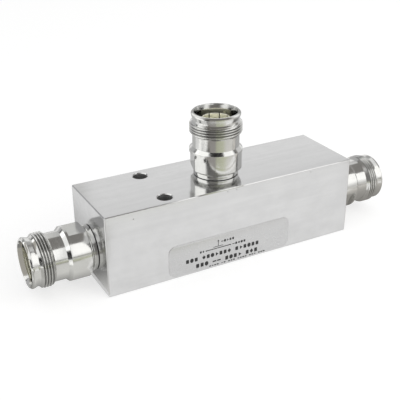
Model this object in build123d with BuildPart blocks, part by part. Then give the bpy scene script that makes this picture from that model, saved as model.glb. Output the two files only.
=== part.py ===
"""RF tapper: a square aluminium block with three identical female coaxial connectors.

The through line runs along X from the input connector (-X) to the output connector (+X).
The tap connector stands on the top face. The bottom face lies on Z = 0 and the label is on the -Y side.
All lengths are in millimetres.
"""

from build123d import *
from math import cos, radians, sin, sqrt
import os

os.makedirs("parts", exist_ok=True)

# Housing: one length of square bar, milled and bored
housing_length = 105.0
housing_width = 31.75
housing_height = 31.75
housing_edge_break = 0.35
line_height = 13.2
line_bore_radius = 6.0
mount_hole_radius = 2.75
mount_hole_spacing = 21.2
mount_hole_x = -27.0
mount_hole_chamfer = 0.3

# Connector body: a start or an end is a distance outward from the housing's face
spigot_depth = 8.0
spigot_radius = 7.5
spigot_chamfer = 0.5
seal_thickness = 0.2
seal_radius = 8.3
foot_radius = 8.6
foot_end = 1.8
foot_chamfer = 0.2
relief_radius = 8.1
collar_start = 2.65
collar_radius = 10.1
collar_end = 10.2
collar_chamfer = 0.3
flat_width_across = 18.1
flat_end = 9.2
neck_radius = 8.9
thread_radius = 10.0
thread_length = 3.25
groove_radius = 8.85
groove_length = 0.6
lip_taper_length = 1.5
lip_radius = 9.35
lip_length = 1.0
lip_edge_break = 0.5
body_length = 24.6

# Inside of the connector body
mouth_radius = 7.9
mouth_flare = 0.4
mouth_flare_depth = 1.7
mouth_depth = 11.6
seat_radius = 6.4
seat_start = 4.0
line_port_radius = 5.0

# Slotted outer contact
contact_sleeve_radius = 5.55
contact_sleeve_recess = 2.7
contact_slot_count = 8
contact_slot_width = 0.45
contact_slot_depth = 7.0
contact_edge_chamfer = 0.15

# Insulator disc
insulator_thickness = 4.0
insulator_relief_inner = 2.8
insulator_relief_outer = 5.2
insulator_relief_depth = 0.8

# Centre contact: a slotted socket with a solid pin behind it
socket_radius = 2.15
socket_recess = 4.6
socket_bore_radius = 1.0
socket_bore_depth = 6.0
socket_slot_count = 4
socket_slot_width = 0.35
socket_slot_depth = 5.0
socket_edge_chamfer = 0.3
pin_radius = 1.5
pin_length_in_line = 5.0
pin_end_clearance = 1.0

# Inner conductors
line_radius = 2.6
line_middle_radius = 3.1
line_middle_length = 30.0
sleeve_wall = 0.4
sleeve_length = 14.0
foot_length = 10.0
foot_width = 4.0
foot_thickness = 1.6

# Rating label: a thin film on the front face
label_left = -28.6
label_right = 23.9
label_bottom = 0.8
label_top = 13.8
label_corner_radius = 3.0
label_thickness = 0.15

# Where the wrench flats of each connector ended up when it was screwed tight
input_flat_angle = 90.0
output_flat_angle = 210.0
tap_flat_angle = 162.0

# How far each outer contact's slots are turned from its connector's wrench flats
contact_turn = 18.5


def flat_direction(first, second, angle):
    """A unit vector at an angle from the first direction towards the second."""
    turn = radians(angle)
    return first * cos(turn) + second * sin(turn)


across = Vector(0, 1, 0)
upward = Vector(0, 0, 1)
along = Vector(1, 0, 0)

# Each port's plane lies on the housing's face: its Z points outward, its X across the wrench flats
ports = {
    "input": Plane(
        origin=(-housing_length / 2, 0, line_height),
        x_dir=flat_direction(across, upward, input_flat_angle),
        z_dir=(-1, 0, 0),
    ),
    "output": Plane(
        origin=(housing_length / 2, 0, line_height),
        x_dir=flat_direction(across, upward, output_flat_angle),
        z_dir=(1, 0, 0),
    ),
    "tap": Plane(
        origin=(0, 0, housing_height),
        x_dir=flat_direction(along, across, tap_flat_angle),
        z_dir=(0, 0, 1),
    ),
}

# Places worked out from the sizes above; the shoulder and both ends of the thread slope at 45 degrees
lip_start = body_length - lip_length
groove_end = lip_start - lip_taper_length
groove_start = groove_end - groove_length
crest_end = groove_start - (thread_radius - groove_radius)
crest_start = crest_end - thread_length
neck_end = crest_start - (thread_radius - neck_radius)
neck_start = collar_end + collar_radius - neck_radius
lip_edge = min(lip_edge_break, 0.8 * (lip_radius - mouth_radius - mouth_flare))
mouth_floor = body_length - mouth_depth
insulator_end = seat_start + insulator_thickness
sleeve_end = body_length - contact_sleeve_recess
socket_end = body_length - socket_recess
sleeve_radius = line_middle_radius + sleeve_wall
foot_top = line_height + sleeve_radius + foot_thickness
foot_drop = sleeve_radius - sqrt(sleeve_radius**2 - (foot_width / 2) ** 2)
line_hole_depth = pin_length_in_line + pin_end_clearance


def profile_plane(port):
    """The plane through a port's axis: X is the distance from the axis, Y the distance from the face."""
    return Plane(origin=port.origin, x_dir=port.x_dir, z_dir=port.x_dir.cross(port.z_dir))


def port_axis(port):
    """The axis that a port's turned pieces are revolved about."""
    return Axis(port.origin, port.z_dir)


def save(piece, name):
    """Labels a finished piece and writes it to its own file."""
    piece.part.label = name
    export_step(piece.part, f"parts/{name}.step")


# Housing: bar with broken edges, the line bore, a seat for each spigot and two mounting holes
with BuildPart() as housing:
    with BuildSketch():
        Rectangle(housing_length, housing_width)
    extrude(amount=housing_height)
    chamfer(housing.edges(), housing_edge_break)
    with BuildSketch(ports["input"]):
        Circle(line_bore_radius)
    extrude(amount=-housing_length, mode=Mode.SUBTRACT)
    with BuildSketch(ports["tap"]):
        Circle(line_bore_radius)
    extrude(amount=line_height - housing_height, mode=Mode.SUBTRACT)
    for port in ports.values():
        with BuildSketch(port):
            Circle(spigot_radius)
        extrude(amount=-spigot_depth, mode=Mode.SUBTRACT)
    with Locations((mount_hole_x, 0, housing_height)):
        with GridLocations(0, mount_hole_spacing, 1, 2):
            CounterSinkHole(
                mount_hole_radius,
                mount_hole_radius + mount_hole_chamfer,
                depth=housing_height,
                counter_sink_angle=90,
            )
save(housing, "housing")

for name, port in ports.items():
    # Connector body: a turned bush with two wrench flats milled on its collar
    with BuildPart() as body:
        with BuildSketch(profile_plane(port)):
            with BuildLine():
                Polyline(
                    (line_port_radius, -spigot_depth),
                    (spigot_radius - spigot_chamfer, -spigot_depth),
                    (spigot_radius, spigot_chamfer - spigot_depth),
                    (spigot_radius, seal_thickness),
                    (foot_radius, seal_thickness),
                    (foot_radius, foot_end - foot_chamfer),
                    (foot_radius - foot_chamfer, foot_end),
                    (relief_radius, foot_end),
                    (relief_radius, collar_start),
                    (collar_radius - collar_chamfer, collar_start),
                    (collar_radius, collar_start + collar_chamfer),
                    (collar_radius, collar_end),
                    (neck_radius, neck_start),
                    (neck_radius, neck_end),
                    (thread_radius, crest_start),
                    (thread_radius, crest_end),
                    (groove_radius, groove_start),
                    (groove_radius, groove_end),
                    (lip_radius, lip_start),
                    (lip_radius, body_length - lip_edge),
                    (lip_radius - lip_edge, body_length),
                    (mouth_radius + mouth_flare, body_length),
                    (mouth_radius, body_length - mouth_flare_depth),
                    (mouth_radius, mouth_floor),
                    (seat_radius, mouth_floor),
                    (seat_radius, seat_start),
                    (line_port_radius, seat_start),
                    close=True,
                )
            make_face()
        revolve(axis=port_axis(port))
        with BuildSketch(port.offset(collar_start)):
            for side in (-1, 1):
                with Locations((side * (flat_width_across / 2 + collar_radius / 2), 0)):
                    Rectangle(collar_radius, 3 * collar_radius)
        extrude(amount=flat_end - collar_start, mode=Mode.SUBTRACT)
    save(body, f"{name}_connector_body")

    # Seal: a ring squeezed between the connector's foot and the housing
    with BuildPart() as seal:
        with BuildSketch(port):
            Circle(seal_radius)
            Circle(spigot_radius, mode=Mode.SUBTRACT)
        extrude(amount=seal_thickness)
    save(seal, f"{name}_seal")

    # Outer contact: a pressed-in base and a thin sleeve slotted into spring fingers
    with BuildPart() as outer_contact:
        with BuildSketch(profile_plane(port)):
            with BuildLine():
                Polyline(
                    (line_port_radius, insulator_end),
                    (seat_radius, insulator_end),
                    (seat_radius, mouth_floor),
                    (contact_sleeve_radius, mouth_floor),
                    (contact_sleeve_radius, sleeve_end - contact_edge_chamfer),
                    (contact_sleeve_radius - contact_edge_chamfer, sleeve_end),
                    (line_port_radius + contact_edge_chamfer, sleeve_end),
                    (line_port_radius, sleeve_end - contact_edge_chamfer),
                    close=True,
                )
            make_face()
        revolve(axis=port_axis(port))
        with BuildSketch(port.offset(sleeve_end)):
            with PolarLocations(0, contact_slot_count // 2, contact_turn, 180, endpoint=False):
                Rectangle(3 * contact_sleeve_radius, contact_slot_width)
        extrude(amount=-contact_slot_depth, mode=Mode.SUBTRACT)
    save(outer_contact, f"{name}_outer_contact")

    # Insulator: a disc with a ring-shaped relief in each face
    with BuildPart() as insulator:
        with BuildSketch(port.offset(seat_start)):
            Circle(seat_radius)
            Circle(pin_radius, mode=Mode.SUBTRACT)
        extrude(amount=insulator_thickness)
        for height, depth in ((seat_start, insulator_relief_depth), (insulator_end, -insulator_relief_depth)):
            with BuildSketch(port.offset(height)):
                Circle(insulator_relief_outer)
                Circle(insulator_relief_inner, mode=Mode.SUBTRACT)
            extrude(amount=depth, mode=Mode.SUBTRACT)
    save(insulator, f"{name}_insulator")

    # Centre contact: a slotted socket in front of the insulator, and its pin through it
    with BuildPart() as centre_contact:
        with BuildSketch(profile_plane(port)):
            with BuildLine():
                Polyline(
                    (0, seat_start - pin_length_in_line),
                    (pin_radius, seat_start - pin_length_in_line),
                    (pin_radius, insulator_end),
                    (socket_radius, insulator_end),
                    (socket_radius, socket_end - socket_edge_chamfer),
                    (socket_radius - socket_edge_chamfer, socket_end),
                    (socket_bore_radius, socket_end),
                    (socket_bore_radius, socket_end - socket_bore_depth),
                    (0, socket_end - socket_bore_depth),
                    close=True,
                )
            make_face()
        revolve(axis=port_axis(port))
        with BuildSketch(port.offset(socket_end)):
            with PolarLocations(0, socket_slot_count // 2, angular_range=180, endpoint=False):
                Rectangle(3 * socket_radius, socket_slot_width)
        extrude(amount=-socket_slot_depth, mode=Mode.SUBTRACT)
    save(centre_contact, f"{name}_centre_contact")

# Through line: one turned rod from insulator to insulator, thicker under the tap
line_end = housing_length / 2 + seat_start
line_shoulder = housing_length / 2 - spigot_depth
with BuildPart() as through_line:
    with BuildSketch(Plane.XZ.shift_origin((0, 0, line_height))):
        with BuildLine():
            Polyline(
                (-line_end, 0),
                (-line_end, socket_radius),
                (-line_shoulder, socket_radius),
                (-line_shoulder, line_radius),
                (-line_middle_length / 2, line_radius),
                (-line_middle_length / 2, line_middle_radius),
                (line_middle_length / 2, line_middle_radius),
                (line_middle_length / 2, line_radius),
                (line_shoulder, line_radius),
                (line_shoulder, socket_radius),
                (line_end, socket_radius),
                (line_end, 0),
                close=True,
            )
        make_face()
    revolve(axis=Axis((0, 0, line_height), (1, 0, 0)))
    for name in ("input", "output"):
        with BuildSketch(ports[name].offset(seat_start)):
            Circle(pin_radius)
        extrude(amount=-line_hole_depth, mode=Mode.SUBTRACT)
save(through_line, "through_line")

# Coupling sleeve: keeps the tap's foot at a fixed gap from the line
with BuildPart() as coupling_sleeve:
    with BuildSketch(Plane.YZ.shift_origin((0, 0, line_height)).offset(-sleeve_length / 2)):
        Circle(sleeve_radius)
        Circle(line_middle_radius, mode=Mode.SUBTRACT)
    extrude(amount=sleeve_length)
save(coupling_sleeve, "coupling_sleeve")

# Tap probe: a rod down from the tap's insulator, with a foot that saddles the sleeve
with BuildPart() as tap_probe:
    with BuildSketch(Plane.XY.offset(foot_top)):
        Rectangle(foot_length, foot_width)
    extrude(amount=-(foot_thickness + foot_drop))
    with BuildSketch(Plane.YZ.shift_origin((0, 0, line_height)).offset(-foot_length / 2)):
        Circle(sleeve_radius)
    extrude(amount=foot_length, mode=Mode.SUBTRACT)
    with BuildSketch(Plane.XY.offset(foot_top)):
        Circle(socket_radius)
    extrude(amount=housing_height + seat_start - foot_top)
    with BuildSketch(ports["tap"].offset(seat_start)):
        Circle(pin_radius)
    extrude(amount=-line_hole_depth, mode=Mode.SUBTRACT)
save(tap_probe, "tap_probe")

# Rating label: film with rounded corners, low on the front face
label_centre = ((label_left + label_right) / 2, (label_bottom + label_top) / 2)
with BuildPart() as rating_label:
    with BuildSketch(Plane.XZ.offset(housing_width / 2)):
        with Locations(label_centre):
            RectangleRounded(label_right - label_left, label_top - label_bottom, label_corner_radius)
    extrude(amount=label_thickness)
save(rating_label, "rating_label")
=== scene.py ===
# %% [markdown]
# Dressing an RF tapper for its photograph.
# The object is a square aluminium block with three identical coaxial connectors screwed into it: one at
# each end and one on top. The solids already have the right sizes, so this lesson only adds what makes
# metal look real: turned and milled surfaces, a true screw thread, soft edges, and a studio to reflect.
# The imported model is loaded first. It stays fixed, and every later piece is placed in its frame.

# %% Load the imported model
from math import acos, cos, hypot, pi, radians, sin, tan

import bpy
import bmesh
from mathutils import Matrix, Quaternion, Vector


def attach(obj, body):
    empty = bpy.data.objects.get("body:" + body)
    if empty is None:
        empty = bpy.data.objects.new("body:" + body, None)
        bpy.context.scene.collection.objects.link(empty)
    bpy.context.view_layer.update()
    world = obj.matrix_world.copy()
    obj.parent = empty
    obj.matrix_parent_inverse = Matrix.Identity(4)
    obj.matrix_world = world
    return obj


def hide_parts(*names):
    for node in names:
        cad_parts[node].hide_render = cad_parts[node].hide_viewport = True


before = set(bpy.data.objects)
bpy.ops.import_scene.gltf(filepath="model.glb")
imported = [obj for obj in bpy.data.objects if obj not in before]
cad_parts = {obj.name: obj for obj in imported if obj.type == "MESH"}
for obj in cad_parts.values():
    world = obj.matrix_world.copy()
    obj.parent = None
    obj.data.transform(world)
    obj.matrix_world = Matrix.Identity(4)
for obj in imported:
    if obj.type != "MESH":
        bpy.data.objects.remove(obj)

MM = 0.001
scene = bpy.context.scene
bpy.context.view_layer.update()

# %% [markdown]
# The camera.
# The photograph was taken from the front left, about 27 cm away and well above the object. A camera can
# be aimed with a Track To constraint, but here its direction is known as an azimuth and an elevation, so a
# quaternion sets it directly, and a second small turn about the view axis gives the slight roll.
# The lens comes from the focal length in pixels of a picture that is 400 pixels wide.

# %% Camera
picture_width = 400
focal_pixels = 766.9
camera_azimuth = radians(-28.54)
camera_elevation = radians(25.99)
camera_roll = radians(-0.34)
camera_place = Vector((-133.85, -233.39, 150.81)) * MM

toward_camera = Vector((
    sin(camera_azimuth) * cos(camera_elevation),
    -cos(camera_azimuth) * cos(camera_elevation),
    sin(camera_elevation),
))
camera_data = bpy.data.cameras.new("camera")
camera_data.sensor_width = 36
camera_data.lens = camera_data.sensor_width * focal_pixels / picture_width
camera_data.clip_start = 10 * MM
camera = bpy.data.objects.new("camera", camera_data)
camera.location = camera_place
camera.rotation_mode = "QUATERNION"
camera.rotation_quaternion = (-toward_camera).to_track_quat("-Z", "Y") @ Quaternion((0, 0, 1), camera_roll)
scene.collection.objects.link(camera)
scene.camera = camera
scene.view_settings.view_transform = "Standard"
print("lens", round(camera_data.lens, 2), "mm, distance", round(camera_place.length / MM), "mm")

# %% [markdown]
# A small kit for building materials.
# Every finish below is a node tree. Writing nodes one by one is long, so small helpers add a node with its
# values, set sockets to plain numbers, join them and do a sum.

# %% Node helpers
def new_finish(name):
    """An empty material, with its node tree, its Principled shader and its output ready."""
    material = bpy.data.materials.new(name)
    material.use_nodes = True
    tree = material.node_tree
    return material, tree, tree.nodes["Principled BSDF"]


def add(tree, kind, settings=None, **inputs):
    """Adds a node. Settings are its properties, and inputs are values or sockets for its own sockets."""
    node = tree.nodes.new("ShaderNode" + kind)
    for key, value in (settings or {}).items():
        setattr(node, key, value)
    for key, value in inputs.items():
        socket = node.inputs[int(key[1:])] if key[0] == "i" and key[1:].isdigit() else node.inputs[key]
        if isinstance(value, bpy.types.NodeSocket):
            tree.links.new(value, socket)
        else:
            socket.default_value = value
    return node


def assign(shader, **values):
    """Sets sockets of a shader by their names, with an underscore for each space."""
    for key, value in values.items():
        shader.inputs[key.replace("_", " ")].default_value = value


def join(tree, output, socket):
    """Links an output socket to an input socket."""
    tree.links.new(output, socket)


def reckon(tree, operation, first, second=0.0):
    """Adds a Math node and gives its result."""
    return add(tree, "Math", {"operation": operation}, i0=first, i1=second).outputs[0]


def own_space(tree):
    """The place on the object itself, which moves with it."""
    return add(tree, "TexCoord").outputs["Object"]


def seen_directly(tree):
    """1 for camera, glossy and transmission rays, and 0 for the rays that light other surfaces."""
    path = add(tree, "LightPath")
    mirror = reckon(tree, "MAXIMUM", path.outputs["Is Glossy Ray"], path.outputs["Is Transmission Ray"])
    return reckon(tree, "MAXIMUM", path.outputs["Is Camera Ray"], mirror)


print("helpers ready")

# %% [markdown]
# The world.
# The object was photographed against pure white. If the world lit everything at full white, the metal
# would lose its shadows, so the world has two levels: white where the camera or a mirror-like surface sees
# it, and a lower level for the light that it sheds. The Light Path node tells the two apart.

# %% World
world_light_level = 0.62
world = bpy.data.worlds.new("white_room")
scene.world = world
world.use_nodes = True
tree = world.node_tree
background = tree.nodes["Background"]
assign(background, Color=(1, 1, 1, 1))
world_level = add(tree, "MapRange", i0=seen_directly(tree), i3=world_light_level, i4=1.0)
join(tree, world_level.outputs[0], background.inputs["Strength"])
print("world: white when seen, lights at", world_light_level)

# %% [markdown]
# The floor.
# A plain pale table carries the object and catches its soft shadow. A little emission, again only where it
# is seen, lifts it to the white of the photograph, while the diffuse part keeps the shadow.

# %% Floor
floor_half = 1.6
floor_drop = 0.02 * MM
floor_glow_level = 0.58
floor_mesh = bpy.data.meshes.new("floor")
floor_mesh.from_pydata(
    [(x * floor_half, y * floor_half, -floor_drop) for x, y in ((-1, -1), (1, -1), (1, 1), (-1, 1))],
    [], [(0, 1, 2, 3)],
)
floor = bpy.data.objects.new("floor", floor_mesh)
scene.collection.objects.link(floor)

floor_paint, tree, shader = new_finish("pale_table")
assign(shader, Base_Color=(0.62, 0.62, 0.62, 1), Roughness=0.9, Specular_IOR_Level=0.0)
assign(shader, Emission_Color=(1, 1, 1, 1))
floor_glow = reckon(tree, "MULTIPLY", seen_directly(tree), floor_glow_level)
join(tree, floor_glow, shader.inputs["Emission Strength"])
floor_mesh.materials.append(floor_paint)
print("floor", 2 * floor_half, "m square")

# %% [markdown]
# The lamp.
# One large soft box stands in front of the object, a little to the right and above it. Its size matters
# more than its power: a big lamp gives soft shadows. Its own reflection is left out, because a card with
# a gentle fall-off stands in for it below, and then no highlight burns out to plain white.

# %% Soft box
lamp_target = Vector((0, 0, 20)) * MM
lamp_data = bpy.data.lights.new("front_softbox", "AREA")
lamp_data.shape = "RECTANGLE"
lamp_data.size = 0.9
lamp_data.size_y = 0.55
lamp_data.energy = 1.85
lamp_data.color = (1.0, 0.99, 0.97)
lamp = bpy.data.objects.new("front_softbox", lamp_data)
lamp.location = (0.26, -0.50, 0.30)
lamp.rotation_mode = "QUATERNION"
lamp.rotation_quaternion = (lamp_target - lamp.location).to_track_quat("-Z", "Y")
lamp.visible_glossy = False
scene.collection.objects.link(lamp)
print("soft box", lamp_data.size, "by", lamp_data.size_y, "m")

# %% [markdown]
# Cards for the metal to reflect.
# Polished metal has almost no colour of its own: it shows the room. In an all-white room it looks flat, so
# photographers hang bright and dark cards, and their reflections draw the shape of every cylinder. These
# cards are seen by glossy rays only. They cast no shadow and the camera never sees them.
# A card's place is found by following the view back: a ray from the camera bounces off the metal, and the
# card hangs where it goes. Most are of two kinds. An arch is part of a tunnel over the line of the end
# connectors, and a wall is part of a dome round a chosen centre. Nearly all others lie flat. A few change
# along their length, from dark to bright or in bands.

# %% Card helpers
def card_paint(name, color, strength=1.0):
    """A material that only glows, evenly."""
    paint, tree, shader = new_finish(name)
    assign(shader, Base_Color=(0, 0, 0, 1), Specular_IOR_Level=0.0)
    assign(shader, Emission_Color=(*color, 1), Emission_Strength=strength)
    return paint, tree, shader


def hang(name, rows, paint):
    """Makes a card from rows of points, each joined to the next by faces. Only reflections see it."""
    width = len(rows[0])
    faces = [
        (i * width + k, i * width + k + 1, (i + 1) * width + k + 1, (i + 1) * width + k)
        for i in range(len(rows) - 1) for k in range(width - 1)
    ]
    mesh = bpy.data.meshes.new(name)
    mesh.from_pydata([point for row in rows for point in row], [], faces)
    mesh.materials.append(paint)
    card = bpy.data.objects.new(name, mesh)
    scene.collection.objects.link(card)
    for use in ("camera", "diffuse", "transmission", "volume_scatter", "shadow"):
        setattr(card, "visible_" + use, False)


def shares(first, last, steps):
    """Evenly spaced angles, in radians, between two angles in degrees."""
    return [radians(first + (last - first) * i / steps) for i in range(steps + 1)]


def arch_card(name, angles, reach, color, radius, height=0.0):
    """Part of a tunnel along X. Angles run from the front (-Y) up and over, reach is its span in X."""
    rows = [
        [(x, -radius * cos(a), height + radius * sin(a)) for x in reach]
        for a in shares(*angles, 16)
    ]
    hang(name, rows, card_paint(name, color)[0])


def dome_rows(turn, lift, radius=0.5, centre=(0, 0, 0.03)):
    """Part of a dome. Turn is the angle from the front (-Y) towards the left (-X), lift the elevation."""
    return [
        [(centre[0] - radius * sin(a) * cos(e),
          centre[1] - radius * cos(a) * cos(e),
          centre[2] + radius * sin(e)) for a in shares(*turn, 12)]
        for e in shares(*lift, 8)
    ]


def ring_rows(turn, steps, reach, height):
    """Part of a flat ring round Z, between two radii. Turn is measured as on a dome."""
    return [[(-r * sin(a), -r * cos(a), height) for a in shares(*turn, steps)] for r in reach]


def wall_card(name, turn, lift, color, radius=0.5, centre=(0, 0, 0.03), strength=1.0):
    """Hangs an evenly glowing part of a dome."""
    hang(name, dome_rows(turn, lift, radius, centre), card_paint(name, color, strength)[0])


print("card helpers ready")

# %% Cards for the end connectors
def graded_paint(name, color, axis, near, far, near_level, far_level):
    """A glow whose strength changes evenly along an axis, between two places on it."""
    paint, tree, shader = card_paint(name, color)
    place = add(tree, "SeparateXYZ", Vector=own_space(tree))
    level = add(tree, "MapRange", i0=place.outputs[axis], i1=near, i2=far, i3=near_level, i4=far_level)
    join(tree, level.outputs[0], shader.inputs["Emission Strength"])
    return paint


white, nearly_white, black = (1.0, 1.0, 1.0), (1.0, 1.0, 0.99), (0.03, 0.03, 0.03)
dark_brown = (0.26, 0.25, 0.24)
strip_angles, strip_radius = (57, 119), 0.12
arch_card("left_strip_card", strip_angles, (-0.054, 0.016), dark_brown, strip_radius, 0.013)
arch_card("right_strip_card", strip_angles, (0.120, 0.18), dark_brown, strip_radius, 0.013)
arch_card("back_arch_card", (119, 146), (-0.1, 0.9), (0.5, 0.5, 0.5), 0.6)

soft_paint = graded_paint("soft_card", (1.0, 0.995, 0.985), "Z", 0.0, 0.15, 0.60, 1.45)
hang("soft_card", dome_rows((-67, -4), (-3, 62), 0.52), soft_paint)
wall_card("left_mouth_card", (-5, 80), (-65, 80), (0.47, 0.45, 0.41), 0.014, (-0.0785, 0.006, 0.013))
wall_card("left_frame_card", (60, 72), (7, 25), black, 0.48)
wall_card("left_gleam_card", (80, 128), (8, 42), white, 0.05, (-0.068, -0.006, 0.020), 1.15)
wall_card("left_chamfer_card", (62, 88), (-42, -9), (0.55, 0.55, 0.53), 0.02, (-0.066, -0.009, 0.015))
wall_card("left_post_card", (58, 85), (-3, 11), black, 0.47)
far_floor = ring_rows((58, 84), 8, (0.15, 0.47), 0.0008)
hang("left_far_floor_card", far_floor, card_paint("left_far_floor_card", black)[0])
print("end connector cards hung")

# %% Cards for the tap connector
tap_middle = (0, 0, 0.042)
wall_card("left_window_low_card", (74, 136), (12, 38), nearly_white, strength=1.9)
wall_card("left_window_card", (74, 136), (38, 66), nearly_white, strength=1.35)
wall_card("back_frame_card", (137, 144), (8, 60), black)
wall_card("back_left_card", (144, 185), (8, 60), (0.55, 0.55, 0.56))
wall_card("back_edge_card", (185, 193), (8, 60), (0.76, 0.76, 0.75))
wall_card("right_window_card", (-69, -16), (40, 66), nearly_white, 0.07, tap_middle, 1.3)
wall_card("right_frame_card", (-78, -70), (12, 56), black)
wall_card("right_card", (-128, -78), (8, 60), (0.78, 0.78, 0.78))
wall_card("room_card", (18, 67), (-3, 38), (0.24, 0.235, 0.23))
wall_card("low_room_card", (-19, 18), (1, 5), (0.24, 0.24, 0.20))
wall_card("shoulder_card", (-11, 69), (49, 74), (0.02, 0.02, 0.02), 0.035, (-0.002, -0.004, 0.042))
for name, sides, ends in (("right", (0.006, 0.12), (-0.06, 0.12)), ("left", (-0.14, -0.05), (-0.16, 0.03))):
    rows = [[(x, y, 0.45) for x in sides] for y in ends]
    hang(name + "_zenith_card", rows, card_paint(name + "_zenith_card", (0.12, 0.12, 0.12))[0])

# A small disc inside the tap's mouth lights the contact in it
disc = ring_rows((0, 360), 24, (0.0001, 0.0035), 0.0546)
hang("contact_light_card", disc, card_paint("contact_light_card", (1.0, 0.99, 0.93), 1.6)[0])
print("tap cards hung")

# %% Bands of light and dark
def banded_paint(name, strength, stops, across=0.0):
    """A glow in bands round Z, or along X within a distance of the middle. Each stop: share, then colour."""
    paint, tree, shader = card_paint(name, white, strength)
    place = own_space(tree)
    if across:
        x = add(tree, "SeparateXYZ", Vector=place).outputs["X"]
        share = add(tree, "MapRange", i0=x, i1=-across, i2=across).outputs[0]
    else:
        share = add(tree, "TexGradient", {"gradient_type": "RADIAL"}, Vector=place).outputs["Fac"]
    bands = add(tree, "ValToRGB", Fac=share)
    while len(bands.color_ramp.elements) < len(stops):
        bands.color_ramp.elements.new(0.5)
    for element, (position, band) in zip(bands.color_ramp.elements, stops):
        element.position = position
        element.color = (*band, 1)
    join(tree, bands.outputs["Color"], shader.inputs["Emission Color"])
    return paint


white_band, dark_band, flare_dark = (0.96, 0.96, 0.95), (0.25, 0.24, 0.23), (0.17, 0.16, 0.15)
olive_band, green_band = (0.35, 0.36, 0.28), (0.42, 0.43, 0.34)
pale_band, brown_band, grey_band = (0.53, 0.52, 0.50), (0.30, 0.29, 0.28), (0.40, 0.40, 0.40)
ring_paint = banded_paint("ring_bands", 1.5, [
    (0.000, white_band), (0.044, white_band), (0.064, dark_band), (0.160, dark_band), (0.178, olive_band),
    (0.255, green_band), (0.310, pale_band), (0.395, pale_band), (0.412, brown_band), (0.460, brown_band),
    (0.480, grey_band), (0.860, grey_band), (0.885, white_band),
])
flare_paint = banded_paint("flare_bands", 1.15, [
    (0.000, white_band), (0.030, white_band), (0.095, flare_dark), (0.280, flare_dark),
    (0.340, white_band), (0.385, white_band), (0.430, grey_band), (0.890, grey_band), (0.930, white_band),
])
edge_paint = banded_paint("edge_bands", 1.5, [
    (0.020, white_band), (0.060, dark_band), (0.340, dark_band), (0.375, olive_band), (0.470, green_band),
    (0.530, pale_band), (0.660, pale_band), (0.710, brown_band), (0.990, brown_band),
], 0.035)
print("band paints mixed")

# %% Banded cards
ring_outer, ring_height = 700 * MM, 0.4 * MM


def ring_start(angle):
    """Where the ring begins: outside the part of the floor that the block's front face mirrors."""
    forward, right = -sin(angle), cos(angle)
    start = 70
    if forward > 0 and right > -0.45:
        start = max(start, min(77 / forward, 100 / max(right, 0.01)))
    return start * MM


floor_ring = [
    [(reach * cos(a), reach * sin(a), ring_height) for reach in (ring_start(a), ring_outer)]
    for a in shares(0, 360, 96)[:-1]
]
hang("floor_ring_card", floor_ring + floor_ring[:1], ring_paint)

tap_mouth = (0, 0, 0.0545)
hang("flare_card", dome_rows((-105, 175), (5, 32), 0.011, tap_mouth), flare_paint)

# The lip's taper faces a little downward, so a narrow band just in front of the tap is enough for it
hang("lip_shade_card", ring_rows((-19, 66), 12, (0.0190, 0.0230), 0.037), ring_paint)

# A low strip before the block's front edge carries the same bands for the foot of the tap
edge_rows = [[(x * MM, -17.3 * MM, z * MM) for x in (-45, 45)] for z in (31.9, 33.0)]
hang("edge_strip_card", edge_rows, edge_paint)
print("banded cards hung")

# %% Floor cards with painted shadow beside and under the end connectors
def floor_card(name, height, corners, paint):
    """Lies on the floor. Corners are rows of (x, y) in millimetres."""
    hang(name, [[(x * MM, y * MM, height) for x, y in row] for row in corners], paint)


# Both cards glow least next to the block: a painted floor shadow, which only reflections see
right_floor_shadow = graded_paint("right_floor_shadow_card", (1.0, 0.97, 0.92), "Y", 0.0, -0.066, 0.30, 0.90)
left_floor_shadow = graded_paint("left_floor_shadow_card", (1.0, 0.995, 0.97), "Y", 0.002, -0.014, 0.26, 0.80)
right_corners = [[(53.5, 12), (100, 12)], [(53.5, -16), (125, -16)], [(97, -66), (150, -66)]]
left_corners = [[(-88, 8), (-53.5, 8)], [(-88, -16), (-53.5, -16)], [(-62, -66), (-31, -66)]]
floor_card("right_floor_shadow_card", 0.0006, right_corners, right_floor_shadow)
floor_card("left_floor_shadow_card", 0.0006, left_corners, left_floor_shadow)

# Beside the block's left end the floor is in its shadow, and the end face mirrors that
shade_paint = graded_paint("floor_shade", white, "X", -0.054, -0.072, 0.34, 0.93)
floor_card("floor_shade_card", 0.0005, [[(-54, -4), (-130, -4)], [(-54, 100), (-130, 100)]], shade_paint)
print("floor cards laid")

# %% [markdown]
# Helpers for turned parts.
# Most pieces here were made on a lathe, so one helper spins a closed outline of (radius, height) points
# round the Z axis. Real turned edges are never razor sharp, and a tiny rounding catches the light, so
# another helper rounds the corners of an outline first. Each connector piece is built round its own axis,
# and a matrix then carries it to its port, so one mesh recipe and one material serve all three.

# %% Lathe helpers
def soften(outline, radius, steps=3):
    """Rounds every corner of a closed outline, by less where a neighbouring edge is short."""
    points = [Vector(p) for p in outline]
    rounded = []
    for i, corner in enumerate(points):
        before = points[i - 1] - corner
        after = points[(i + 1) % len(points)] - corner
        bend = before.angle(-after, 0)
        reach = min(radius * tan(bend / 2), before.length * 0.4, after.length * 0.4)
        if bend < 0.05 or reach < 1e-4 or corner.x < 1e-6:
            rounded.append(tuple(corner))
            continue
        start = corner + before.normalized() * reach
        end = corner + after.normalized() * reach
        for k in range(steps + 1):
            t = k / steps
            p = start * (1 - t) ** 2 + corner * 2 * t * (1 - t) + end * t ** 2
            rounded.append(tuple(p))
    return rounded


def even_turn(columns):
    """Angles of equal columns round the axis."""
    return [2 * pi * i / columns for i in range(columns)]


def lathe_point(form, r, angle, h):
    """Adds a point at a radius, an angle round Z and a height. Lengths are in millimetres."""
    return form.verts.new((r * cos(angle) * MM, r * sin(angle) * MM, h * MM))


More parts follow.
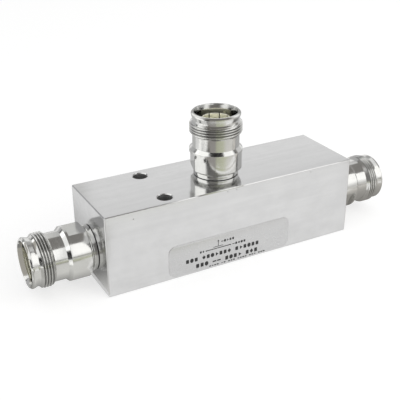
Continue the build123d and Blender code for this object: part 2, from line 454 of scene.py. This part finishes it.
def spin(form, outline, turn):
    """Adds the surface of a closed outline, spun round Z, to a bmesh."""
    grid = [[lathe_point(form, r, a, h) for r, h in outline] for a in turn]
    for i in range(len(turn)):
        this, following = grid[i], grid[(i + 1) % len(turn)]
        for k in range(len(outline)):
            m = (k + 1) % len(outline)
            if outline[k][0] < 1e-6 and outline[m][0] < 1e-6:
                continue
            form.faces.new((this[k], following[k], following[m], this[m]))


def close_form(form, name, sharp_degrees=30, weld=0.5e-6):
    """Welds a bmesh, makes its faces point outward, and turns it into a smooth-shaded object."""
    bmesh.ops.remove_doubles(form, verts=form.verts, dist=weld)
    bmesh.ops.dissolve_degenerate(form, edges=form.edges, dist=weld)
    bmesh.ops.recalc_face_normals(form, faces=form.faces)
    mesh = bpy.data.meshes.new(name)
    form.to_mesh(mesh)
    form.free()
    mesh.shade_smooth()
    mesh.set_sharp_from_angle(angle=radians(sharp_degrees))
    piece = bpy.data.objects.new(name, mesh)
    scene.collection.objects.link(piece)
    return piece


def turned(name, outline, columns=96, edge=0.05):
    """A plain turned piece with softened edges."""
    form = bmesh.new()
    spin(form, soften(outline, edge), even_turn(columns))
    return close_form(form, name)


def report(piece):
    """Prints a piece's size and face count, and whether its surface is closed."""
    edges = {}
    for polygon in piece.data.polygons:
        for key in polygon.edge_keys:
            edges[key] = edges.get(key, 0) + 1
    loose = sum(1 for n in edges.values() if n != 2)
    size = [round(v / MM, 2) for v in piece.dimensions]
    print(piece.name, "size", size, "faces", len(piece.data.polygons), "open edges", loose)


print("lathe ready")

# %% [markdown]
# Cutting holes and slots.
# A slot or a bore is easiest made as the machinist does it: the tool's shape is taken away. In Blender that
# is a Boolean modifier with a cutter object. The helper applies it at once and removes the cutter, so the
# finished mesh stands alone.

# %% Cutting helper
def cut(piece, cutters):
    """Takes cutter objects away from a piece, one after the other, and deletes them."""
    for cutter in cutters:
        tool = piece.modifiers.new("cut", "BOOLEAN")
        tool.operation = "DIFFERENCE"
        tool.solver = "EXACT"
        tool.object = cutter
        bpy.context.view_layer.update()
        graph = bpy.context.evaluated_depsgraph_get()
        made = bpy.data.meshes.new_from_object(piece.evaluated_get(graph))
        piece.modifiers.clear()
        piece.data = made
        bpy.data.objects.remove(cutter)
    form = bmesh.new()
    form.from_mesh(piece.data)
    bmesh.ops.remove_doubles(form, verts=form.verts, dist=1e-6)
    bmesh.ops.dissolve_degenerate(form, edges=form.edges, dist=1e-6)
    form.to_mesh(piece.data)
    form.free()
    piece.data.shade_smooth()
    piece.data.set_sharp_from_angle(angle=radians(30))


def box_form(low, high):
    """A box between two corners in millimetres."""
    form = bmesh.new()
    bmesh.ops.create_cube(form, size=1.0)
    for vert in form.verts:
        vert.co = Vector([(low[i] + (high[i] - low[i]) * (vert.co[i] + 0.5)) * MM for i in range(3)])
    return form


print("cutter ready")

# %% [markdown]
# The sizes.
# These repeat the sizes of the solids, in millimetres, so that the dressed pieces have exactly their form.
# A start or an end on a connector is its distance outward from the face it is screwed into.

# %% Sizes and ports
housing_length, housing_width, housing_height = 105.0, 31.75, 31.75
line_height, line_bore_radius = 13.2, 6.0
spigot_radius, spigot_depth = 7.5, 8.0
seat_radius, seat_start, line_port_radius = 6.4, 4.0, 5.0
seal_thickness, insulator_end, mouth_floor = 0.2, 8.0, 13.0
port_names = ("input", "output", "tap")


def port_matrix(origin, outward, across):
    """Carries a piece built round Z to a port: Z goes outward and X across the wrench flats."""
    z, x = Vector(outward), Vector(across)
    rotation = Matrix((x, z.cross(x), z)).transposed().to_4x4()
    return Matrix.Translation(Vector(origin) * MM) @ rotation


output_angle, tap_angle = radians(210), radians(162)
ports = {
    "input": port_matrix((-housing_length / 2, 0, line_height), (-1, 0, 0), (0, 0, 1)),
    "output": port_matrix(
        (housing_length / 2, 0, line_height), (1, 0, 0), (0, cos(output_angle), sin(output_angle))),
    "tap": port_matrix(
        (0, 0, housing_height), (0, 0, 1), (cos(tap_angle), sin(tap_angle), 0)),
}


def fit(piece, node, finish, port=None):
    """Gives a piece its finish and its port, and lets it stand for its CAD node."""
    piece.data.materials.clear()
    piece.data.materials.append(finish)
    if port:
        piece.matrix_world = ports[port]
    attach(piece, "root")
    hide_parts(node)
    report(piece)


print("ports", port_names)

# %% [markdown]
# The block's finish.
# The block is square aluminium bar, milled on all sides and then left plain. Up close it has faint lines
# along its length, soft streaks and a slight mottling, and it mirrors what stands near it. The lines come
# from noise that is stretched along X. On the end faces the cutter ran across, so there the stretch is
# along Y, and the surface normal picks between the two.

# %% Block finish
def stretched_noise(tree, place, scale, detail=4.0):
    """Noise in the object's own space, stretched by a separate scale along each axis (per metre)."""
    mapping = add(tree, "Mapping", Vector=place, Scale=scale)
    noise = add(tree, "TexNoise", Vector=mapping.outputs[0], Scale=1.0, Detail=detail, Roughness=0.6)
    return noise.outputs["Fac"]


def spread(tree, value, low, high, from_low=0.35, from_high=0.65):
    """Maps a noise value to a range."""
    return add(tree, "MapRange", i0=value, i1=from_low, i2=from_high, i3=low, i4=high).outputs[0]


def surface(tree, shader, tones, roughness, metallic=1.0):
    """Joins a finish to its shader: red, green and blue tones, roughness, and whether it is metal."""
    color = add(tree, "CombineColor", i0=tones[0], i1=tones[1], i2=tones[2])
    join(tree, color.outputs[0], shader.inputs["Base Color"])
    join(tree, roughness, shader.inputs["Roughness"])
    assign(shader, Metallic=metallic)


def relief(tree, shader, height, strength, distance=0.02 * MM):
    """Makes the surface look uneven where a height value changes."""
    bump = add(tree, "Bump", Strength=strength, Distance=distance, Height=height)
    join(tree, bump.outputs[0], shader.inputs["Normal"])


milled_aluminium, tree, shader = new_finish("milled_aluminium")
place = own_space(tree)
along_lines = stretched_noise(tree, place, (60, 2600, 2600))
across_lines = stretched_noise(tree, place, (2600, 60, 2600))
facing = add(tree, "SeparateXYZ", Vector=add(tree, "TexCoord").outputs["Normal"])
end_face = reckon(tree, "ABSOLUTE", facing.outputs["X"])
lines = add(tree, "Mix", i0=end_face, i2=along_lines, i3=across_lines)
streaks = stretched_noise(tree, place, (14, 420, 420), detail=2.0)
cloud = stretched_noise(tree, place, (120, 160, 160), detail=3.0)
tone = reckon(tree, "ADD", spread(tree, streaks, -0.012, 0.012), spread(tree, cloud, 0.605, 0.645))
surface(tree, shader, [tone] * 3, spread(tree, cloud, 0.12, 0.16))
relief(tree, shader, lines.outputs[0], 0.12)
print("finish", milled_aluminium.name, "nodes", len(tree.nodes))

# %% [markdown]
# The block.
# It starts as a box whose twelve edges are broken by a fine bevel, as a deburring tool leaves them. The
# two bores, the three spigot seats and the two mounting holes are then cut out. Small dings along the
# top of the front face stay, because the photographed object has them: each is the dent of a tiny ball.
# A weighted normal modifier keeps the big faces flat beside their rounded edges.

# %% Block mesh
edge_break, edge_rounding = 0.35, 0.06
half_length, half_width = housing_length / 2, housing_width / 2
form = box_form((-half_length, -half_width, 0), (half_length, half_width, housing_height))
bmesh.ops.bevel(form, geom=form.edges[:] + form.verts[:], offset=edge_break * MM, segments=1, affect="EDGES")
bmesh.ops.bevel(form, geom=form.edges[:] + form.verts[:], offset=edge_rounding * MM, segments=2, profile=0.6,
                affect="EDGES")
housing = close_form(form, "milled_block", 35)


def rod(name, radius, low, high, place, columns=72):
    """A plain round cutter between two heights on its own axis, put in its place."""
    cutter = turned(name, [(0, low), (radius, low), (radius, high), (0, high)], columns, 0)
    cutter.matrix_world = place
    return cutter


left_end = Matrix.Translation((-half_length * MM, 0, line_height * MM))
along_x = left_end @ Matrix.Rotation(pi / 2, 4, "Y")
bore_cutters = [
    rod("line_bore", line_bore_radius, -1, housing_length + 1, along_x),
    rod("tap_bore", line_bore_radius, line_height - housing_height, 1, ports["tap"]),
]
bore_cutters += [rod(port + "_seat", spigot_radius, -spigot_depth, 1, ports[port], 96) for port in port_names]
cut(housing, bore_cutters)
print("block bored, faces", len(housing.data.polygons))

# %% Mounting holes and dings
hole_radius, hole_chamfer = 2.75, 0.3
hole_x, hole_spacing = -27.0, 21.2
hole_outline = [
    (0, -1), (hole_radius, -1), (hole_radius, housing_height - hole_chamfer),
    (hole_radius + hole_chamfer, housing_height), (hole_radius + hole_chamfer + 1, housing_height + 1),
    (0, housing_height + 1),
]
hole_cutters = []
for side in (-1, 1):
    hole = turned("mounting_hole", hole_outline, 72, 0)
    hole.matrix_world = Matrix.Translation(Vector((hole_x, side * hole_spacing / 2, 0)) * MM)
    hole_cutters.append(hole)


def ball(name, radius, middle):
    """A small round cutter."""
    form = bmesh.new()
    bmesh.ops.create_icosphere(form, subdivisions=2, radius=radius * MM)
    cutter = close_form(form, name)
    cutter.matrix_world = Matrix.Translation(Vector(middle) * MM)
    return cutter


# Each ding on the front face: x, z and radius. The pit is on the left end
dings = [
    (-41.76, 28.98, 0.26), (-4.02, 30.68, 0.26), (-0.14, 30.75, 0.26),
    (33.09, 30.6, 0.26), (49.26, 31.2, 0.16),
]
ding_lift = 0.06
pit_y, pit_z, pit_radius = 2.94, 20.45, 0.34
hole_cutters += [ball("dent", radius, (x, -half_width - ding_lift, z)) for x, z, radius in dings]
hole_cutters.append(ball("pit", pit_radius, (-half_length, pit_y, pit_z)))
cut(housing, hole_cutters)
flat_shading = housing.modifiers.new("flat_faces", "WEIGHTED_NORMAL")
flat_shading.keep_sharp = True
flat_shading.weight = 100
fit(housing, "housing", milled_aluminium)

# %% [markdown]
# The drilled walls, and painted shade in the dents.
# A drill leaves a rougher wall than a milling cutter, with fine rings down the hole, so the holes don't
# mirror the room as the outside does. The walls get a material of their own: every face of the block that
# lies inside a hole's radius, away from the outside faces, is one of them. The insides of the dings and of
# the pit get it too, and there its darker tone is painted shade.

# %% Drilled walls and painted dent shade
drilled_wall_and_dent_shade, tree, shader = new_finish("drilled_wall_and_dent_shade")
place = own_space(tree)
down_rings = stretched_noise(tree, place, (90, 90, 5200), detail=3.0)
tone = spread(tree, down_rings, 0.46, 0.62)
surface(tree, shader, [tone] * 3, spread(tree, down_rings, 0.34, 0.5))
relief(tree, shader, down_rings, 0.5, 0.04 * MM)

housing.data.materials.append(drilled_wall_and_dent_shade)
seat_reach, skin = spigot_radius + 0.1, 0.1


def is_drilled_or_dent_shade(middle):
    """Whether a face, given by its middle, lies in a hole, or in a ding or the pit, which get painted shade.
    """
    x, y, z = middle
    from_left, from_front = x + half_length, y + half_width
    in_hole = hypot(x - hole_x, abs(y) - hole_spacing / 2) < hole_radius + 0.01
    in_hole = in_hole and hole_chamfer < z < housing_height - hole_chamfer
    in_line = hypot(y, z - line_height) < seat_reach and abs(x) < half_length - skin
    in_tap = hypot(x, y) < seat_reach and line_height < z < housing_height - skin
    # A ding or the pit takes the darker drilled finish as painted shade in its dent
    in_ding = any(hypot(x - ding_x, z - ding_z) < radius and 0.005 < from_front < 0.03 + radius
                  for ding_x, ding_z, radius in dings)
    in_pit = hypot(y - pit_y, z - pit_z) < pit_radius and 0.01 < from_left < 0.5
    return in_hole or in_line or in_tap or in_ding or in_pit


drilled_or_dent_faces = [polygon for polygon in housing.data.polygons if is_drilled_or_dent_shade(polygon.center / MM)]
for polygon in drilled_or_dent_faces:
    polygon.material_index = 1
print("drilled faces", len(drilled_or_dent_faces))

# %% [markdown]
# The connectors' finish.
# The connector bodies are turned brass with a white bronze plating, a bright grey metal that doesn't
# tarnish. The lathe tool leaves fine rings round the axis. They come from noise that changes fast along
# the piece's own Z and hardly at all round it, and they stretch each highlight along the axis, which is
# what anisotropy adds, with the tangent running round Z. The roots of the thread get painted shade, so
# there the tone falls towards the axis.

# %% Plated finish
plated_bronze, tree, shader = new_finish("plated_bronze")
place = own_space(tree)
fine_rings = stretched_noise(tree, place, (8, 8, 9000), detail=3.0)
broad_rings = stretched_noise(tree, place, (20, 20, 900), detail=2.0)
cloud = stretched_noise(tree, place, (160, 160, 160), detail=2.0)
apart = add(tree, "SeparateXYZ", Vector=place)
flat_place = add(tree, "CombineXYZ", X=apart.outputs["X"], Y=apart.outputs["Y"])
from_axis = add(tree, "VectorMath", {"operation": "LENGTH"}, i0=flat_place.outputs[0])

# Before and past the thread the distance from the axis is raised, so only the thread's roots get painted
# shade
height, raised = apart.outputs["Z"], 10 * MM
before_thread = spread(tree, height, raised, 0.0, 16.9 * MM, 17.0 * MM)
past_thread = spread(tree, height, 0.0, raised, 20.6 * MM, 20.7 * MM)
reach = reckon(tree, "ADD", reckon(tree, "ADD", from_axis.outputs["Value"], before_thread), past_thread)
painted_root_shade = spread(tree, reach, 0.42, 1.0, 9.45 * MM, 9.80 * MM)
tone = reckon(tree, "MULTIPLY", spread(tree, cloud, 0.66, 0.70), painted_root_shade)
warm = reckon(tree, "MULTIPLY", tone, 0.975)
surface(tree, shader, (tone, tone, warm), spread(tree, broad_rings, 0.12, 0.17))
relief(tree, shader, reckon(tree, "ADD", fine_rings, broad_rings), 0.10)
tangent = add(tree, "Tangent", {"direction_type": "RADIAL", "axis": "Z"})
join(tree, tangent.outputs[0], shader.inputs["Tangent"])
assign(shader, Anisotropic=0.3)
print("finish", plated_bronze.name)

# %% [markdown]
# The outline of a connector body.
# From the block outward it has a spigot, a round foot, a relief, a collar with two wrench flats, a slimmer
# neck, the coupling thread, a groove and a rounded lip. The outline below stops at the end of the neck
# and starts again at the groove, because the thread between them isn't a turned shape.

# %% Connector outline
spigot_chamfer = 0.5
foot_radius, foot_end, foot_chamfer, relief_radius = 8.6, 1.8, 0.2, 8.1
collar_radius, collar_start, collar_end, collar_chamfer = 10.1, 2.65, 10.2, 0.3
flat_half, flat_to = 9.05, 9.2
neck_radius, thread_start, thread_end, crest_radius = 8.9, 16.0, 21.5, 10.0
groove_radius, groove_end = 8.85, 22.1
lip_radius, lip_start, lip_break, body_length = 9.35, 23.6, 0.5, 24.6
mouth_radius, mouth_flare, flare_depth = 7.9, 0.4, 1.7

outside_rear = [
    (line_port_radius, -spigot_depth), (spigot_radius - spigot_chamfer, -spigot_depth),
    (spigot_radius, spigot_chamfer - spigot_depth), (spigot_radius, seal_thickness),
    (foot_radius, seal_thickness), (foot_radius, foot_end - foot_chamfer),
    (foot_radius - foot_chamfer, foot_end), (relief_radius, foot_end), (relief_radius, collar_start),
    (collar_radius - collar_chamfer, collar_start), (collar_radius, collar_start + collar_chamfer),
    (collar_radius, collar_end), (neck_radius, collar_end + collar_radius - neck_radius),
    (neck_radius, thread_start),
]
outside_front = [
    (groove_radius, thread_end), (groove_radius, groove_end), (lip_radius, lip_start),
    (lip_radius, body_length - lip_break), (lip_radius - lip_break, body_length),
    (mouth_radius + mouth_flare, body_length), (mouth_radius, body_length - flare_depth),
    (mouth_radius, mouth_floor), (seat_radius, mouth_floor), (seat_radius, seat_start),
    (line_port_radius, seat_start),
]


def body_outline():
    """The closed outline with softened corners, as one list that is cut where the thread goes."""
    rounded = soften(outside_rear + outside_front, 0.08)
    first = max(i for i, (r, h) in enumerate(rounded) if h < thread_start + 1e-6 and r > neck_radius - 1e-3)
    return rounded[:first + 1], rounded[first + 1:]


rear, front = body_outline()
print("outline points", len(rear), "and", len(front))

# %% [markdown]
# The screw thread.
# A thread could be faked with rings, but on the real one each crest runs on into the next. Here the rows
# of a grid climb by one pitch in each full turn, so the mesh lines follow the helix and its crests stay
# crisp. The grid is clamped to the thread's two ends, where sloping run-outs cut it off, and its radius is
# the lower of the run-out cone and the thread's own profile.

# %% Thread surface
pitch, thread_depth = 1.0, 0.61
rows_per_pitch = 16
crest_to = 20.35
thread_profile = [(0.0, 1.0), (0.14, 1.0), (0.18, 0.95), (0.46, 0.05), (0.52, 0.0), (0.62, 0.0), (0.68, 0.05),
                  (0.96, 0.95), (1.0, 1.0)]


def thread_radius(share):
    """Radius of the thread at a share of one pitch."""
    share %= 1.0
    for (a, low), (b, high) in zip(thread_profile, thread_profile[1:]):
        if share <= b:
            lift = low + (high - low) * (share - a) / (b - a)
            return crest_radius - thread_depth * (1 - lift)
    return crest_radius


def run_out(s):
    """Radius of the sloping ends and the crest cylinder at a distance from the face."""
    return min(crest_radius, neck_radius + s - thread_start, crest_radius + crest_to - s)


def spin_thread(form, turn):
    """Adds the helical surface between the neck and the groove."""
    rows = int((thread_end - thread_start) / pitch + 2) * rows_per_pitch
    columns = []
    for a in turn:
        column = []
        for i in range(rows + 1):
            s = thread_start + pitch * (i / rows_per_pitch - 1 + a / (2 * pi))
            s = min(max(s, thread_start), thread_end)
            r = min(run_out(s), thread_radius(i / rows_per_pitch))
            if s in (thread_start, thread_end):
                r = run_out(s)
            column.append(lathe_point(form, r, a, s))
        columns.append(column)
    for j, column in enumerate(columns):
        last = j == len(columns) - 1
        following = columns[0] if last else columns[j + 1]
        shift = rows_per_pitch if last else 0
        for i in range(rows):
            if i + 1 + shift <= rows:
                form.faces.new((column[i], following[i + shift], following[i + 1 + shift], column[i + 1]))


print("thread rows per turn", rows_per_pitch)

# %% [markdown]
# The connector bodies.
# The two open outlines are spun on the same columns as the thread, so the three surfaces meet point to
# point. The wrench flats are then pressed in: every point of the collar that lies outside a flat's plane
# moves back to it. Extra columns at the flats' corners keep those edges straight.

# %% Connector bodies
def body_turn():
    """Column angles: equal ones, and the four corners of the wrench flats."""
    corner = acos(flat_half / collar_radius)
    extra = [corner, pi - corner, pi + corner, 2 * pi - corner]
    return sorted(even_turn(180) + extra)


def flatten(radius, angle):
    """The radius where a wrench flat may hold it back."""
    across = abs(cos(angle))
    return min(radius, flat_half / across) if across > 1e-6 else radius


def spin_open(form, outline, turn):
    """Like spin, for an outline with two open ends, and with the flats pressed in between their rows."""
    rows = []
    for r, h in outline:
        flat = collar_start - 1e-6 <= h <= flat_to + 1e-6 and r > flat_half
        rows.append([lathe_point(form, flatten(r, a) if flat else r, a, h) for a in turn])
    for this, following in zip(rows, rows[1:]):
        for i in range(len(turn)):
            k = (i + 1) % len(turn)
            form.faces.new((this[i], this[k], following[k], following[i]))


def with_flat_rows(outline):
    """Adds the two rows where the wrench flats end, one on the flat and one on the full collar."""
    rows = []
    for p, q in zip(outline, outline[1:]):
        rows.append(p)
        if abs(p[0] - collar_radius) < 1e-6 and p[1] < flat_to < q[1]:
            rows += [(collar_radius, flat_to), (collar_radius, flat_to + 2e-3)]
    return rows + [outline[-1]]


for port in port_names:
    form = bmesh.new()
    turn = body_turn()
    spin_open(form, with_flat_rows([front[-1]] + rear), turn)
    spin_open(form, front, turn)
    spin_thread(form, turn)
    body = close_form(form, port + "_plated_body", 28, 2e-6)
    fit(body, port + "_connector_body", plated_bronze, port)

# %% [markdown]
# The seals.
# A thin black rubber ring is squeezed between each connector's foot and the block. Pressed rubber bulges,
# so its outer side is rounded, and moulding leaves it matte with a fine grain.

# %% Seals
seal_rubber, tree, shader = new_finish("seal_rubber")
grain = stretched_noise(tree, own_space(tree), (2200, 2200, 2200), detail=5.0)
tone = spread(tree, grain, 0.018, 0.035)
surface(tree, shader, [tone] * 3, spread(tree, grain, 0.5, 0.68), 0.0)
relief(tree, shader, grain, 0.3)

seal_radius, seal_edge = 8.3, 0.06
seal_outline = [
    (spigot_radius, 0.0), (seal_radius - seal_edge, 0.0), (seal_radius, seal_edge),
    (seal_radius, seal_thickness - seal_edge), (seal_radius - seal_edge, seal_thickness),
    (spigot_radius, seal_thickness),
]
for port in port_names:
    seal = turned(port + "_rubber_ring", seal_outline, 120, 0.03)
    fit(seal, port + "_seal", seal_rubber, port)

# %% [markdown]
# The contacts.
# Inside each mouth a thin sleeve is slotted into eight spring fingers, and a slotted socket sits in the
# middle. Both are silver plated, a warm pale metal that is softly polished. They are turned first and
# slotted afterwards, like the real ones, with a thin saw that passes right across the piece.

# %% Contact finish
silver_plating, tree, shader = new_finish("silver_plating")
place = own_space(tree)
cloud = stretched_noise(tree, place, (300, 300, 300), detail=3.0)
rings = stretched_noise(tree, place, (10, 10, 7000), detail=2.0)
red = spread(tree, cloud, 0.92, 0.96)
green, blue = reckon(tree, "MULTIPLY", red, 0.99), reckon(tree, "MULTIPLY", red, 0.86)
surface(tree, shader, (red, green, blue), spread(tree, cloud, 0.40, 0.48))
relief(tree, shader, rings, 0.1)
print("finish", silver_plating.name)

# %% Outer contacts
sleeve_inner, sleeve_outer, sleeve_tip, tip_chamfer = 5.0, 5.55, 21.9, 0.15
sleeve_outline = [
    (sleeve_inner, insulator_end), (seat_radius, insulator_end), (seat_radius, mouth_floor),
    (sleeve_outer, mouth_floor), (sleeve_outer, sleeve_tip - tip_chamfer),
    (sleeve_outer - tip_chamfer, sleeve_tip), (sleeve_inner + tip_chamfer, sleeve_tip),
    (sleeve_inner, sleeve_tip - tip_chamfer),
]


def saw_cuts(count, width, reach, low, high, first=0.0):
    """Thin cutters that cross the axis at equal angles, from a first angle in degrees."""
    blades = []
    for k in range(count):
        blade = close_form(box_form((-reach, -width / 2, low), (reach, width / 2, high)), "saw")
        blade.matrix_world = Matrix.Rotation(radians(first) + pi * k / count, 4, "Z")
        blades.append(blade)
    return blades


contact_turn = 18.5
slot_width, slot_depth, saw_overrun = 0.45, 7.0, 1.1
for port in port_names:
    sleeve = turned(port + "_spring_sleeve", sleeve_outline, 128)
    cut(sleeve, saw_cuts(4, slot_width, 8.0, sleeve_tip - slot_depth, sleeve_tip + saw_overrun, contact_turn))
    fit(sleeve, port + "_outer_contact", silver_plating, port)

# %% Centre contacts
stem_radius, stem_start = 1.5, -1.0
socket_radius, socket_tip, socket_chamfer = 2.15, 20.0, 0.3
socket_bore, bore_depth, socket_slot, socket_slot_depth = 1.0, 6.0, 0.35, 5.0
socket_outline = [
    (0, stem_start), (stem_radius, stem_start), (stem_radius, insulator_end), (socket_radius, insulator_end),
    (socket_radius, socket_tip - socket_chamfer), (socket_radius - socket_chamfer, socket_tip),
    (socket_bore, socket_tip), (socket_bore, socket_tip - bore_depth), (0, socket_tip - bore_depth),
]
for port in port_names:
    socket = turned(port + "_centre_socket", socket_outline, 64)
    cut(socket, saw_cuts(2, socket_slot, 3.0, socket_tip - socket_slot_depth, socket_tip + 1))
    fit(socket, port + "_centre_contact", silver_plating, port)

# %% [markdown]
# The insulators and the inner line.
# White PTFE discs hold the contacts, and their ring-shaped reliefs can be glimpsed deep in the mouths. The
# solids already have their true shape, so they stay, and only get a finish. The same goes for the line
# inside the block, which can't be seen but would be silver plated too.

# %% Finishes for the solids that stay
white_ptfe, tree, shader = new_finish("white_ptfe")
waxy = stretched_noise(tree, own_space(tree), (900, 900, 900), detail=3.0)
tone = spread(tree, waxy, 0.88, 0.92)
surface(tree, shader, [tone] * 3, spread(tree, waxy, 0.4, 0.5), 0.0)
assign(shader, Subsurface_Weight=0.1, Subsurface_Scale=0.8 * MM)

kept_solids = {name + "_insulator": white_ptfe for name in port_names}
kept_solids.update(coupling_sleeve=white_ptfe, through_line=silver_plating, tap_probe=silver_plating)
for node, finish in kept_solids.items():
    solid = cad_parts[node]
    solid.data.materials.clear()
    solid.data.materials.append(finish)
print("solids kept as they are:", len(kept_solids))

# %% [markdown]
# The rating label.
# A film of satin silver polyester with round corners is stuck low on the front face. It is 0.15 mm thick,
# and its edge catches a thin line of light. The film is a plate cut from an outline, with its front edge
# beveled, and it is rougher and a little darker than the milled metal round it.

# %% Plate helper
def rounded_outline(left, right, bottom, top, corner, steps=8):
    """Points of a rectangle with round corners, in millimetres, anticlockwise."""
    points = []
    for cx, cz, start in ((right - corner, bottom + corner, -90), (right - corner, top - corner, 0),
                          (left + corner, top - corner, 90), (left + corner, bottom + corner, 180)):
        for k in range(steps + 1):
            angle = radians(start + 90 * k / steps)
            points.append((cx + corner * cos(angle), cz + corner * sin(angle)))
    return points


def lay_plate(form, outline, back, thickness):
    """Adds a thin plate that stands on the plane y = back and faces the front (-Y)."""
    rear_ring = [form.verts.new((x * MM, back * MM, z * MM)) for x, z in outline]
    front_ring = [form.verts.new((x * MM, (back - thickness) * MM, z * MM)) for x, z in outline]
    form.faces.new(rear_ring)
    form.faces.new(list(reversed(front_ring)))
    for i in range(len(outline)):
        k = (i + 1) % len(outline)
        form.faces.new((front_ring[i], front_ring[k], rear_ring[k], rear_ring[i]))


# %% Label film
front_y = -half_width
film_thickness, film_corner = 0.15, 3.0
film_box = (-28.6, 23.9, 0.8, 13.8)  # left, right, bottom and top
satin_film, tree, shader = new_finish("satin_film")
place = own_space(tree)
grain = stretched_noise(tree, place, (1500, 1500, 1500), detail=3.0)
haze = stretched_noise(tree, place, (90, 90, 90), detail=2.0)
tone = spread(tree, haze, 0.56, 0.58)
surface(tree, shader, [tone] * 3, spread(tree, grain, 0.27, 0.31))

form = bmesh.new()
lay_plate(form, rounded_outline(*film_box, film_corner), front_y, film_thickness)
film_edges = [e for e in form.edges if all(v.co.y < (front_y - film_thickness / 2) * MM for v in e.verts)]
bmesh.ops.bevel(form, geom=film_edges, offset=0.05 * MM, segments=2, profile=0.5, affect="EDGES")
film = close_form(form, "label_film", 35)
fit(film, "rating_label", satin_film)

# %% [markdown]
# The print on the label.
# The real label carries words and numbers. None of them belongs on a general part, so the same places
# hold a plain diagram, a line with a branch, and rows of simple shapes: slabs, discs, diamonds and
# wedges, set in groups with the rhythm of words. The ink is a separate piece, a hundredth of a
# millimetre thick, as a thick screen print is.

# %% Label ink
black_ink, tree, shader = new_finish("black_ink")
speckle = stretched_noise(tree, own_space(tree), (3000, 3000, 3000), detail=2.0)
tone = spread(tree, speckle, 0.006, 0.018)
surface(tree, shader, [tone] * 3, spread(tree, speckle, 0.4, 0.55), 0.0)
print("finish", black_ink.name)


# %% Simple shapes for the print
def bar(left, right, bottom, top):
    """A straight bar with slightly rounded corners."""
    return rounded_outline(left, right, bottom, top, 0.2 * min(right - left, top - bottom), 2)


def round_mark(x, z, wide, high, corners):
    """A disc when it has many corners, and a diamond when it has four."""
    return [(x + wide / 2 * cos(a), z + high / 2 * sin(a)) for a in even_turn(corners)]


def mark(kind, left, bottom, wide, high):
    """The outline of one simple shape that fills a box of the given width and height."""
    if kind == "slab":
        return bar(left + 0.1 * wide, left + 0.9 * wide, bottom + 0.1 * high, bottom + 0.9 * high)
    if kind == "dash":
        return bar(left, left + wide, bottom + 0.37 * high, bottom + 0.63 * high)
    corners = {"disc": 16, "diamond": 4, "wedge": 3}[kind]
    return round_mark(left + wide / 2, bottom + high / 2, wide, 0.9 * high, corners)


def mark_row(groups, left, right, bottom, high):
    """Sets groups of marks evenly between two ends, with a wider space after each group."""
    count, spaces = sum(len(g) for g in groups), len(groups) - 1
    pitch = (right - left) / (count + 0.8 * spaces)
    outlines, x = [], left
    for group in groups:
        for kind in group:
            outlines.append(mark(kind, x, bottom, 0.84 * pitch, high))
            x += pitch
        x += 0.8 * pitch
    return outlines


print("print shapes ready")

# %% Label print
ink_back, ink_thickness = front_y - film_thickness, 0.01
s, o, d, w, n = "slab", "disc", "diamond", "wedge", "dash"
outlines = [bar(-13.2, -2.6, 8.22, 8.55), bar(-10.0, -5.8, 9.0, 9.25), bar(-8.05, -7.8, 9.3, 11.2)]
for x, z, wide, high in ((-7.925, 11.35, 0.7, 0.7), (-13.1, 8.385, 0.5, 0.6), (-2.7, 8.385, 0.5, 0.6)):
    outlines.append(round_mark(x, z, wide, high, 16))
for groups, left, right, bottom, high in (
    ([[s, d]], -15.9, -13.7, 7.9, 1.1),
    ([[n, o, w, s, s]], -6.7, -0.8, 10.2, 1.2),
    ([[n, s, d, o, s]], -1.8, 4.3, 7.8, 1.2),
    ([[s, o, s], [d, s, o, w, s, s, d], [s, w, s, o, s, s]], -21.8, 10.4, 4.95, 2.0),
    ([[s, s, o], [n, n], [s, o, s, w], [s, d, s]], -17.6, 9.9, 2.0, 2.1),
    ([[s, d, s, o], [w, s], [s, s, o], [d, s, o, s], [s, s, d], [o, o, o]], -11.9, 13.2, 1.12, 0.6),
):
    outlines += mark_row(groups, left, right, bottom, high)
form = bmesh.new()
for outline in outlines:
    lay_plate(form, outline, ink_back, ink_thickness)
ink = close_form(form, "label_print", 35)
ink.data.materials.append(black_ink)
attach(ink, "root")
report(ink)
